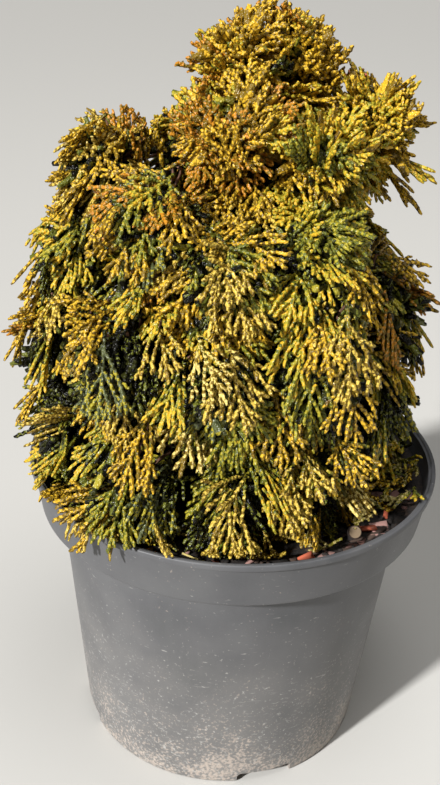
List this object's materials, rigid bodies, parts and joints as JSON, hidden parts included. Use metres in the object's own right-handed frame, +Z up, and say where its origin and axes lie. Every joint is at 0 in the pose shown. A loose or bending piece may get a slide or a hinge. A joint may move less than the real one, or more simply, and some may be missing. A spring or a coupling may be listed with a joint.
{
  "type": "potted dwarf hinoki cypress",
  "caption": "Golden dwarf conifer with a dense irregular crown of flat fan-shaped sprays, growing in a plain round nursery pot.",
  "frame": {"origin": "centre of the pot's flat underside, where it meets the ground", "axes": "+Z up along the pot's axis; -Y is the front, which the picture shows; +X is to its right"},
  "size_m": [0.2848, 0.2682, 0.4836],
  "materials": {
    "pot_plastic": "scuffed dark grey moulded polypropylene",
    "potting_soil": "composted bark",
    "bark": "stringy red-brown bark",
    "foliage_gold": "golden scale-leaf sprays",
    "foliage_green": "yellow-green scale-leaf sprays"
  },
  "bodies": {
    "root": {"pot": "pot_plastic", "soil": "potting_soil", "trunk": "bark", "bough_apex_right": "bark", "bough_crown_front": "bark", "bough_crown_right_front": "bark", "bough_crown_right": "bark", "bough_crown_left": "bark", "bough_crown_back_left": "bark", "bough_crown_back_right": "bark", "bough_shelf_left_front": "bark", "bough_shelf_front": "bark", "bough_shelf_right_front": "bark", "bough_middle_left": "bark", "bough_middle_right": "bark", "bough_middle_back_left": "bark", "bough_middle_back": "bark", "bough_middle_back_right": "bark", "bough_lower_left": "bark", "bough_lower_left_front": "bark", "bough_lower_front": "bark", "bough_lower_right_front": "bark", "bough_lower_right": "bark", "bough_skirt_left": "bark", "bough_skirt_left_front": "bark", "bough_skirt_front": "bark", "bough_skirt_right_front": "bark", "bough_skirt_back_left": "bark", "bough_skirt_back": "bark", "bough_skirt_back_right": "bark", "apex_left": "foliage_gold", "apex_right": "foliage_green", "crown_front": "foliage_gold", "crown_right_front": "foliage_green", "crown_right": "foliage_green", "crown_left": "foliage_gold", "crown_back_left": "foliage_green", "crown_back_right": "foliage_green", "shelf_left_front": "foliage_gold", "shelf_front": "foliage_gold", "shelf_right_front": "foliage_green", "middle_left": "foliage_gold", "middle_right": "foliage_green", "middle_back_left": "foliage_green", "middle_back": "foliage_green", "middle_back_right": "foliage_green", "lower_left": "foliage_gold", "lower_left_front": "foliage_gold", "lower_front": "foliage_gold", "lower_right_front": "foliage_green", "lower_right": "foliage_green", "skirt_left": "foliage_gold", "skirt_left_front": "foliage_gold", "skirt_front": "foliage_gold", "skirt_right_front": "foliage_green", "skirt_back_left": "foliage_green", "skirt_back": "foliage_green", "skirt_back_right": "foliage_green"}
  },
  "joints": []
}
